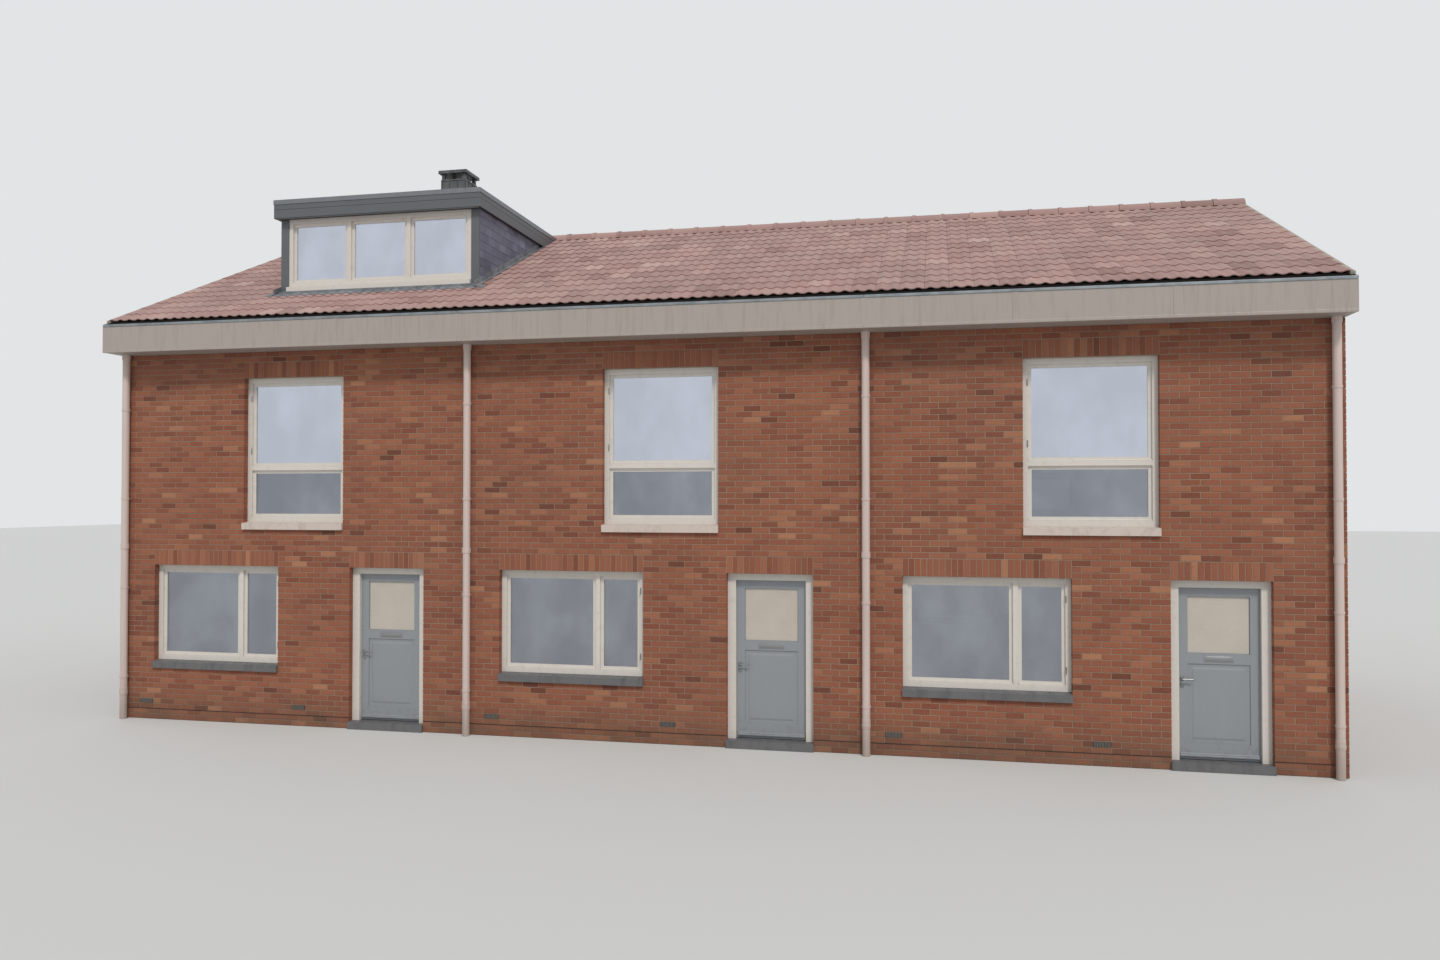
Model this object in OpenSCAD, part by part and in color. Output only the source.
// A row of three brick houses, two storeys high, under one tiled roof.
// The front faces -Y, +X runs along the row to the right, and z = 0 is the ground.

/* [Row] */
// Distance between party lines, which is the width of one house
bay_w = 5400; // [4500:50:6500]
// Depth of the houses over their front and rear walls
depth = 8000; // [6600:50:9600]
// Thickness of the front and rear walls
wall_t = 280; // [220:10:340]
// Thickness of each party wall
party_t = 220; // [180:10:300]

/* [Heights] */
// Top of the ground floor above the ground
floor_h = 100; // [50:10:200]
// Top of the doors and ground windows above the ground
lower_head = 2250; // [2100:5:2400]
// Bottom of the upper window openings
upper_foot = 2775; // [2700:5:3000]
// Top of the upper window openings
upper_head = 4950; // [4500:5:5000]
// Underside of the boxed eaves
soffit_z = 5325; // [5250:5:5600]
// Height of the eaves board that hides the gutter
fascia_h = 400; // [300:10:500]
// Top of the floor over the ground storey
upper_floor_z = 2700; // [2600:10:2900]
// Top of the floor under the roof
attic_floor_z = 5300; // [5200:10:5500]
// Thickness of the upper floors
slab_t = 200; // [150:10:300]

/* [Openings] */
// Left edge of the ground window, from the party line on its left
window_x = 445; // [300:5:700]
// Width of the ground window opening
window_w = 2035; // [1600:5:2400]
// Height of the brickwork under the ground window
window_foot = 750; // [600:10:1000]
// Middle of the front door, from the party line on its right
door_from_right = 1237.5; // [800:0.5:1400]
// Width of the doorway between the bricks
doorway_w = 1135; // [1100:5:1250]
// Width of the upper window opening
upper_w = 1585; // [1200:5:1800]

/* [Joinery] */
// Depth of the timber frames, from front to back
frame_d = 114; // [90:1:140]
// Width of a frame member that meets the bricks
frame_w = 70; // [55:1:90]
// Width of the bars between two panes
bar_w = 60; // [45:1:80]
// Distance from the brick face to the frame
reveal = 90; // [50:5:120]
// Thickness of the sheets of glass
glass_t = 24; // [12:2:36]
// Height of the transom of an upper window above the foot of its opening
transom_up = 850; // [600:10:1100]
// Thickness of the sill stones and upper sills
sill_h = 110; // [60:5:150]
// How far a sill stands out from the bricks
sill_out = 45; // [20:5:80]
// Width of the sash that holds a pane, inside its frame
sash_w = 45; // [30:1:60]
// Thickness of that sash, from front to back
sash_d = 54; // [38:1:66]

/* [Doors] */
// Thickness of a door leaf
leaf_t = 54; // [38:2:68]
// Clearance round a door leaf
leaf_gap = 5; // [5:1:8]
// Width of a leaf's stiles and rails round its glazed light and panel
stile_w = 125; // [90:5:160]
// Height of the rail between the light and the panel, above the foot of the leaf
lock_rail = 1200; // [700:10:1300]
// Width of a front door frame's side
jamb_w = 90; // [70:5:110]
// How far the door stop stands out from the jamb
stop_w = 20; // [10:1:30]
// Radius of a hinge knuckle
knuckle_r = 8; // [6:1:12]
// Length of one half of a hinge
knuckle_h = 50; // [30:5:80]

/* [Roof] */
// Slope of the roof, in degrees
pitch = 24.5; // [20:0.1:30]
// Thickness of the roof, square to its slope
roof_t = 240; // [160:10:320]
// How far the eaves stand out from the wall
eaves_out = 400; // [250:10:500]
// Thickness of the eaves boards
board_t = 25; // [18:1:40]
// Width of the gutter between the eaves board and the roof's edge
gutter_w = 105; // [80:5:160]
// Depth of the gutter below the top of the eaves board
gutter_h = 120; // [80:5:160]
// Radius of the ridge tiles
ridge_r = 110; // [80:5:140]

/* [Downpipes] */
// Outer radius of the downpipes
pipe_r = 50; // [35:1:60]
// Gap between a downpipe and the bricks, which its clips bridge
pipe_gap = 25; // [10:5:60]

/* [Dormer] */
// Right edge of the dormer, from the party line on its right
dormer_from_right = 400; // [250:10:900]
// Width of the dormer
dormer_w = 3000; // [2000:50:3600]
// Distance of the dormer's front from the wall below it
dormer_back = 900; // [500:10:1500]
// Thickness of the dormer's cheeks
cheek_t = 120; // [80:10:160]
// Thickness of the dormer's flat roof
dormer_roof_t = 260; // [180:10:320]
// How far the flat roof stands out from the dormer's front
dormer_out = 120; // [60:10:200]
// How far the flat roof stands out from the cheeks
cheek_out = 60; // [30:10:120]
// Outer width of the square flue
flue_w = 400; // [300:10:500]
// Height of the flue above the flat roof, with its cap
flue_h = 720; // [400:10:900]
// Middle of the flue, from the dormer's right edge
flue_in = 860; // [500:10:1400]
// Distance of the flue's middle from the ridge line
flue_y = 1750; // [700:10:1900]

/* [Hidden] */
bays = 3;
row_w = bays*bay_w + party_t;
tan_p = tan(pitch);
// The roof's upper surface starts at the top of the eaves board
eaves_y = depth/2 + eaves_out;
fascia_top = soffit_z + fascia_h;
roof_v = roof_t/cos(pitch);
roof_edge = eaves_y - board_t - gutter_w;
inner_y = depth/2 - wall_t;
frame_y = depth/2 - reveal;
dormer_y = depth/2 - dormer_back;
pipe_x = pipe_r + pipe_gap;
doorway_x = bay_w - door_from_right - doorway_w/2;
// The upper window stands in the middle of its house
upper_x = (bay_w - upper_w)/2;
leaf_w = doorway_w - 2*jamb_w - 2*leaf_gap;
leaf_foot = floor_h + 8;
leaf_top = lower_head - frame_w - leaf_gap;
hinge_up = [200, 900, 1700];
bed = 0.3;
eps = 1;

brick = "#8a5a4a";
tile = "#a4756a";
white = "#d8d4cc";
grey_board = "#b3aaa4";
grey_door = "#8b9195";
slate = "#4d4f5b";
pane = "#9fb0bd";
concrete = "#a8a49c";

// Left party line of a house, with the row's middle at x = 0
function line_x(bay) = (bay - bays/2)*bay_w;
// Height of the roof's upper surface and underside, y from the row's middle
function roof_top(y) = fascia_top + (eaves_y - abs(y))*tan_p;
function roof_under(y) = roof_top(y) - roof_v;
// Heights of what carries the roof and of what lies on it, a bed's thickness away
function under_roof(y) = roof_under(y) - bed;
function on_roof(y) = roof_top(y) + bed;

// Turns a front piece into the same piece of the rear
module on_rear() { mirror([0, 1, 0]) children(); }
module both_sides() {
    children();
    on_rear() children();
}
module each_bay() { for (bay = [0:bays - 1]) translate([line_x(bay), 0, 0]) children(); }
// A plain block between two corners
module block(low, high) { translate(low) cube(high - low); }
// A length of the front wall between two heights
module wall_run(from, to, foot, head) { block([from, -depth/2, foot], [to, -inner_y, head]); }
// A profile of [y, z] points drawn out along x
module along_x(from, to, profile) {
    translate([from, 0, 0]) rotate([90, 0, 90]) linear_extrude(to - from) polygon(profile);
}

// Floors, one slab to a house, from wall to wall
module floors(top, thick) {
    each_bay() block([party_t/2, -inner_y, top - thick], [bay_w - party_t/2, inner_y, top]);
}
module ground_floor() { color(concrete) floors(floor_h, floor_h); }
module upper_floor() { color(concrete) floors(upper_floor_z, slab_t); }
module attic_floor() { color(concrete) floors(attic_floor_z, slab_t); }

// A party wall runs up to the underside of both roof slopes
module party_wall(line) {
    color(brick) along_x(line_x(line) - party_t/2, line_x(line) + party_t/2,
        [[-inner_y, 0], [inner_y, 0], [inner_y, under_roof(inner_y)], [0, under_roof(0)],
         [-inner_y, under_roof(inner_y)]]);
}

// Brickwork of the ground storey: what stands between the windows and the doors
module ground_piers() {
    wall_run(-row_w/2, line_x(0) + window_x, 0, lower_head);
    for (bay = [0:bays - 1]) {
        x = line_x(bay);
        next = bay < bays - 1 ? x + bay_w + window_x : row_w/2;
        wall_run(x + window_x + window_w, x + doorway_x, 0, lower_head);
        wall_run(x + doorway_x + doorway_w, next, 0, lower_head);
    }
}
module aprons() { each_bay() wall_run(window_x, window_x + window_w, 0, window_foot); }
module band() { wall_run(-row_w/2, row_w/2, lower_head, upper_foot); }
module upper_piers() {
    wall_run(-row_w/2, line_x(0) + upper_x, upper_foot, upper_head);
    for (bay = [0:bays - 1]) {
        x = line_x(bay) + upper_x + upper_w;
        wall_run(x, bay < bays - 1 ? x + bay_w - upper_w : row_w/2, upper_foot, upper_head);
    }
}
// The top of the wall is cut to the slope of the roof that lies on it
module wall_top() {
    along_x(-row_w/2, row_w/2,
        [[-depth/2, upper_head], [-inner_y, upper_head], [-inner_y, under_roof(inner_y)],
         [-depth/2, under_roof(depth/2)]]);
}
module front_wall_piers() { color(brick) ground_piers(); }
module front_wall_aprons() { color(brick) aprons(); }
module front_wall_band() { color(brick) band(); }
module front_wall_upper() { color(brick) upper_piers(); }
module front_wall_top() { color(brick) wall_top(); }
module rear_wall_piers() { color(brick) on_rear() ground_piers(); }
module rear_wall_aprons() { color(brick) on_rear() aprons(); }
module rear_wall_band() { color(brick) on_rear() band(); }
module rear_wall_upper() { color(brick) on_rear() upper_piers(); }
module rear_wall_top() { color(brick) on_rear() wall_top(); }

// One slope of the roof between two x and two distances from the ridge
module roof_slab(from, to, low_y, high_y) {
    along_x(from, to, [[-low_y, roof_under(low_y)], [-high_y, roof_under(high_y)],
        [-high_y, roof_top(high_y)], [-low_y, roof_top(low_y)]]);
}
dormer_right = line_x(1) - dormer_from_right;
dormer_left = dormer_right - dormer_w;
module roof_front() {
    color(tile) {
        roof_slab(-row_w/2, dormer_left, roof_edge, 0);
        roof_slab(dormer_right, row_w/2, roof_edge, 0);
    }
}
// The roof goes on below the dormer and above it, and is open between
module roof_at_dormer() {
    color(tile) {
        roof_slab(dormer_left, dormer_right, roof_edge, dormer_y - frame_d);
        roof_slab(dormer_left, dormer_right, dormer_end, 0);
    }
}
module roof_rear() { color(tile) on_rear() roof_slab(-row_w/2, row_w/2, roof_edge, 0); }
// Half-round ridge tiles, bedded on the two slopes
module ridge_tiles() {
    color(tile) difference() {
        translate([-row_w/2, 0, roof_top(0) - ridge_r/2]) rotate([0, 90, 0]) cylinder(r = ridge_r, h = row_w, $fn = 48);
        translate([-eps, 0, 0]) along_x(-row_w/2, row_w/2 + 2*eps,
            [[-eaves_y, 0], [eaves_y, 0], [eaves_y, on_roof(eaves_y)], [0, on_roof(0)],
             [-eaves_y, on_roof(eaves_y)]]);
    }
}

// Boxed eaves: a soffit board, an upright board and the floor of the gutter behind it
module soffits() {
    color(grey_board) both_sides() block([-row_w/2, -eaves_y, soffit_z], [row_w/2, -depth/2, soffit_z + board_t]);
}
module fascias() {
    color(grey_board) both_sides()
        block([-row_w/2, -eaves_y, soffit_z + board_t], [row_w/2, -eaves_y + board_t, fascia_top]);
}
module gutter_floors() {
    z = fascia_top - gutter_h;
    color(slate) both_sides() block([-row_w/2, -eaves_y + board_t, z - board_t], [row_w/2, -roof_edge, z]);
}

// Downpipes on the party lines, each held to the bricks by clips
socket_h = 70;
socket_out = 7;
module downpipe_row() {
    clips = [600, 1900, 3200, 4500];
    sockets = [2480, soffit_z - socket_h];
    for (line = [0:bays]) translate([line_x(line), -depth/2 - pipe_x, 0]) {
        cylinder(r = pipe_r, h = soffit_z, $fn = 48);
        for (z = sockets) translate([0, 0, z]) cylinder(r = pipe_r + socket_out, h = socket_h, $fn = 48);
        for (z = clips) translate([0, 0, z]) {
            cylinder(r = pipe_r + 6, h = 30, $fn = 48);
            block([-15, 0, 0], [15, pipe_x, 30]);
        }
    }
}
module downpipes_front() { color(grey_board) downpipe_row(); }
module downpipes_rear() { color(grey_board) on_rear() downpipe_row(); }

// A timber frame as wide as its opening. Each light has a thinner sash, set back in it, with a hole for the pane.
// Lights are [left, foot, right, head], measured in the opening.
sash_front = -frame_y + (frame_d - sash_d)/2;
module frame(w, h, lights) {
    difference() {
        block([0, -frame_y, 0], [w, -frame_y + frame_d, h]);
        for (p = lights) {
            block([p[0], -frame_y - eps, p[1]], [p[2], sash_front, p[3]]);
            block([p[0], sash_front + sash_d, p[1]], [p[2], -frame_y + frame_d + eps, p[3]]);
            block([p[0] + sash_w, sash_front - eps, p[1] + sash_w],
                [p[2] - sash_w, sash_front + sash_d + eps, p[3] - sash_w]);
        }
    }
}
module glass(lights) {
    y = sash_front + (sash_d - glass_t)/2;
    for (p = lights) block([p[0] + sash_w, y, p[1] + sash_w], [p[2] - sash_w, y + glass_t, p[3] - sash_w]);
}
// A sill fills the foot of its opening as far back as the wall. It stands out in front, falls to its nose
// and has a drip groove under it.
sill_fall = 18;
groove = 10;
module sill(w) {
    nose = -depth/2 - sill_out;
    along_x(0, w, [[nose, 0], [nose + groove, 0], [nose + groove, groove], [nose + 2*groove, groove],
        [nose + 2*groove, 0], [-inner_y, 0], [-inner_y, sill_h], [-frame_y, sill_h], [nose, sill_h - sill_fall]]);
}

// Ground window: a wide pane and a narrow one beside it
window_h = lower_head - window_foot - sill_h;
side_w = 560;
ground_panes = [
    [frame_w, frame_w, window_w - frame_w - bar_w - side_w, window_h - frame_w],
    [window_w - frame_w - side_w, frame_w, window_w - frame_w, window_h - frame_w]];
module at_ground_windows() {
    both_sides() each_bay() translate([window_x, 0, window_foot + sill_h]) children();
}
module ground_window_frames() { color(white) at_ground_windows() frame(window_w, window_h, ground_panes); }
module ground_window_glass() { color(pane) at_ground_windows() glass(ground_panes); }
module ground_window_sills() { color(slate) at_ground_windows() translate([0, 0, -sill_h]) sill(window_w); }

// Upper window: a tall pane over a low one, parted by a transom
upper_h = upper_head - upper_foot - sill_h;
transom_z = transom_up - sill_h;
upper_panes = [
    [frame_w, frame_w, upper_w - frame_w, transom_z],
    [frame_w, transom_z + bar_w, upper_w - frame_w, upper_h - frame_w]];
module at_upper_windows() {
    both_sides() each_bay() translate([upper_x, 0, upper_foot + sill_h]) children();
}
module upper_window_frames() { color(white) at_upper_windows() frame(upper_w, upper_h, upper_panes); }
module upper_window_glass() { color(pane) at_upper_windows() glass(upper_panes); }
module upper_window_sills() { color(white) at_upper_windows() translate([0, 0, -sill_h]) sill(upper_w); }

// A doorway's frame has a rebate, so that the leaf shuts against a stop in front of it
module door_frame() {
    rebate_y = -frame_y + frame_d - leaf_t - leaf_gap;
    difference() {
        block([0, -frame_y, floor_h], [doorway_w, -frame_y + frame_d, lower_head]);
        block([jamb_w, rebate_y, floor_h - eps], [doorway_w - jamb_w, -frame_y + frame_d + eps, lower_head - frame_w]);
        block([jamb_w + stop_w, -frame_y - eps, floor_h - eps],
            [doorway_w - jamb_w - stop_w, rebate_y + eps, lower_head - frame_w - stop_w]);
    }
}
module door_frames() { color(white) each_bay() translate([doorway_x, 0, 0]) door_frame(); }
module thresholds() {
    color(slate) both_sides() each_bay()
        block([doorway_x, -depth/2 - sill_out, 0], [doorway_x + doorway_w, -inner_y, floor_h]);
}

// Lift-off hinges: the lower half is on the frame, the upper half on the leaf, and both turn on one line
hinge_x = doorway_x + doorway_w - jamb_w - leaf_gap/2;
hinge_y = -frame_y + frame_d + knuckle_r;
plate_w = 34;
plate_t = 3;
seat_gap = 0.3;
module hinge_half(side) {
    cylinder(r = knuckle_r, h = knuckle_h, $fn = 32);
    block([side > 0 ? 0 : -plate_w, -knuckle_r, 0], [side > 0 ? plate_w : 0, -knuckle_r + plate_t, knuckle_h]);
}
module door_hinges() {
    color(slate) each_bay() for (z = hinge_up)
        translate([hinge_x, hinge_y, leaf_foot + z]) hinge_half(1);
}
// A panelled leaf of one width and height, with its front at y = 0. The upper pockets leave a thin sheet for
// the light, and the lower ones leave a panel with a raised field.
sheet_t = 16;
panel_t = 30;
field_in = 45;
module leaf(w, h) {
    light = [stile_w, lock_rail + stile_w/2, w - stile_w, h - stile_w];
    panel = [stile_w, 1.5*stile_w, w - stile_w, lock_rail - stile_w/2];
    difference() {
        block([0, 0, 0], [w, leaf_t, h]);
        pockets(light, sheet_t);
        pockets(panel, panel_t);
    }
    field(panel);
}
module pockets(p, left) {
    deep = (leaf_t - left)/2;
    block([p[0], -eps, p[1]], [p[2], deep, p[3]]);
    block([p[0], leaf_t - deep, p[1]], [p[2], leaf_t + eps, p[3]]);
}
module field(p) {
    full = leaf_t - 12;
    hull() {
        block([p[0] + field_in, (leaf_t - panel_t)/2, p[1] + field_in],
            [p[2] - field_in, (leaf_t + panel_t)/2, p[3] - field_in]);
        block([p[0] + 1.5*field_in, (leaf_t - full)/2, p[1] + 1.5*field_in],
            [p[2] - 1.5*field_in, (leaf_t + full)/2, p[3] - 1.5*field_in]);
    }
}
module door_leaf(bay) {
    translate([line_x(bay), 0, 0]) {
        translate([doorway_x + jamb_w + leaf_gap, -frame_y + frame_d - leaf_t, leaf_foot]) leaf(leaf_w, leaf_top - leaf_foot);
        for (z = hinge_up)
            translate([hinge_x, hinge_y, leaf_foot + z + knuckle_h + seat_gap]) hinge_half(-1);
    }
}
module door_left() { color(grey_door) door_leaf(0); }
module door_middle() { color(grey_door) door_leaf(1); }
module door_right() { color(grey_door) door_leaf(2); }
// The rear doors are fixed: the same leaf, in one piece with its frame
module rear_doors() {
    color(grey_door) on_rear() each_bay() translate([doorway_x, 0, 0]) {
        difference() {
            block([0, -frame_y, floor_h], [doorway_w, -frame_y + frame_d, lower_head]);
            block([jamb_w, -frame_y - eps, floor_h + jamb_w/2],
                [doorway_w - jamb_w, -frame_y + frame_d + eps, lower_head - frame_w]);
        }
        translate([jamb_w - eps, -frame_y + (frame_d - leaf_t)/2, floor_h + jamb_w/2 - eps])
            leaf(doorway_w - 2*jamb_w + 2*eps, lower_head - frame_w - floor_h - jamb_w/2 + 2*eps);
    }
}

// Dormer: a glazed front and two cheeks, under a flat roof that meets the ridge
dormer_under = roof_top(0) - dormer_roof_t;
// Distance from the ridge at which the underside of the flat roof meets the slope
dormer_end = eaves_y - (dormer_under - bed - fascia_top)/tan_p;
dormer_sill_h = 60;
dormer_sill_out = 70;
dormer_foot = on_roof(dormer_y - frame_d) + dormer_sill_h;
dormer_h = dormer_under - dormer_foot;
dormer_pane_w = (dormer_w - 2*frame_w - 2*bar_w)/3;
dormer_panes = [for (i = [0:2]) let (x = frame_w + i*(dormer_pane_w + bar_w))
    [x, frame_w, x + dormer_pane_w, dormer_h - frame_w]];
module at_dormer() { translate([dormer_left, frame_y - dormer_y, dormer_foot]) children(); }
// The sill under the frame is cut to the slope on which it lies
module dormer_frame() {
    front = dormer_y + dormer_sill_out;
    back = dormer_y - frame_d;
    color(white) {
        at_dormer() frame(dormer_w, dormer_h, dormer_panes);
        along_x(dormer_left, dormer_right,
            [[-front, on_roof(front)], [-back, on_roof(back)], [-back, dormer_foot], [-front, dormer_foot]]);
    }
}
module dormer_glass() { color(pane) at_dormer() glass(dormer_panes); }
// A cheek stands on the roof beside the frame and runs back to where the flat roof meets the slope
module dormer_cheeks() {
    cheek = [[-dormer_y, on_roof(dormer_y)], [-dormer_end, dormer_under], [-dormer_y, dormer_under]];
    color(slate) {
        along_x(dormer_left - cheek_t, dormer_left, cheek);
        along_x(dormer_right, dormer_right + cheek_t, cheek);
    }
}
module dormer_roof() {
    front = dormer_y + dormer_out;
    color(slate) along_x(dormer_left - cheek_t - cheek_out, dormer_right + cheek_t + cheek_out,
        [[-front, dormer_under], [-dormer_end, dormer_under], [-ridge_r, on_roof(ridge_r)],
         [-ridge_r, dormer_under + dormer_roof_t], [-front, dormer_under + dormer_roof_t]]);
}
// The flue is a square hollow shaft with a kerb round its foot. Its cap stands on four corner posts.
flue_wall = 50;
kerb_out = 45;
kerb_h = 110;
cap_out = 35;
cap_h = 50;
post_h = 90;
module flue_block(out, foot, head) {
    half = flue_w/2 + out;
    block([-half, -half, foot], [half, half, head]);
}
module flue() {
    shaft_h = flue_h - cap_h - post_h;
    color(slate) translate([dormer_right - flue_in, -flue_y, dormer_under + dormer_roof_t]) {
        difference() {
            union() {
                flue_block(0, 0, shaft_h);
                flue_block(kerb_out, 0, kerb_h);
            }
            flue_block(-flue_wall, -eps, shaft_h + eps);
        }
        for (x = [-1, 1], y = [-1, 1]) translate([x*(flue_w - flue_wall)/2, y*(flue_w - flue_wall)/2, shaft_h - eps])
            block([-flue_wall/2, -flue_wall/2, 0], [flue_wall/2, flue_wall/2, post_h + 2*eps]);
        flue_block(cap_out, flue_h - cap_h, flue_h);
    }
}

ground_floor();
upper_floor();
attic_floor();
party_wall(0);  // end_wall_left
party_wall(1);  // party_wall_left
party_wall(2);  // party_wall_right
party_wall(3);  // end_wall_right
front_wall_piers();
front_wall_aprons();
front_wall_band();
front_wall_upper();
front_wall_top();
rear_wall_piers();
rear_wall_aprons();
rear_wall_band();
rear_wall_upper();
rear_wall_top();
roof_front();
roof_at_dormer();
roof_rear();
ridge_tiles();
soffits();
fascias();
gutter_floors();
downpipes_front();
downpipes_rear();
ground_window_frames();
ground_window_glass();
ground_window_sills();
upper_window_frames();
upper_window_glass();
upper_window_sills();
door_frames();
thresholds();
door_hinges();
door_left();
door_middle();
door_right();
rear_doors();
dormer_frame();
dormer_glass();
dormer_cheeks();
dormer_roof();
flue();
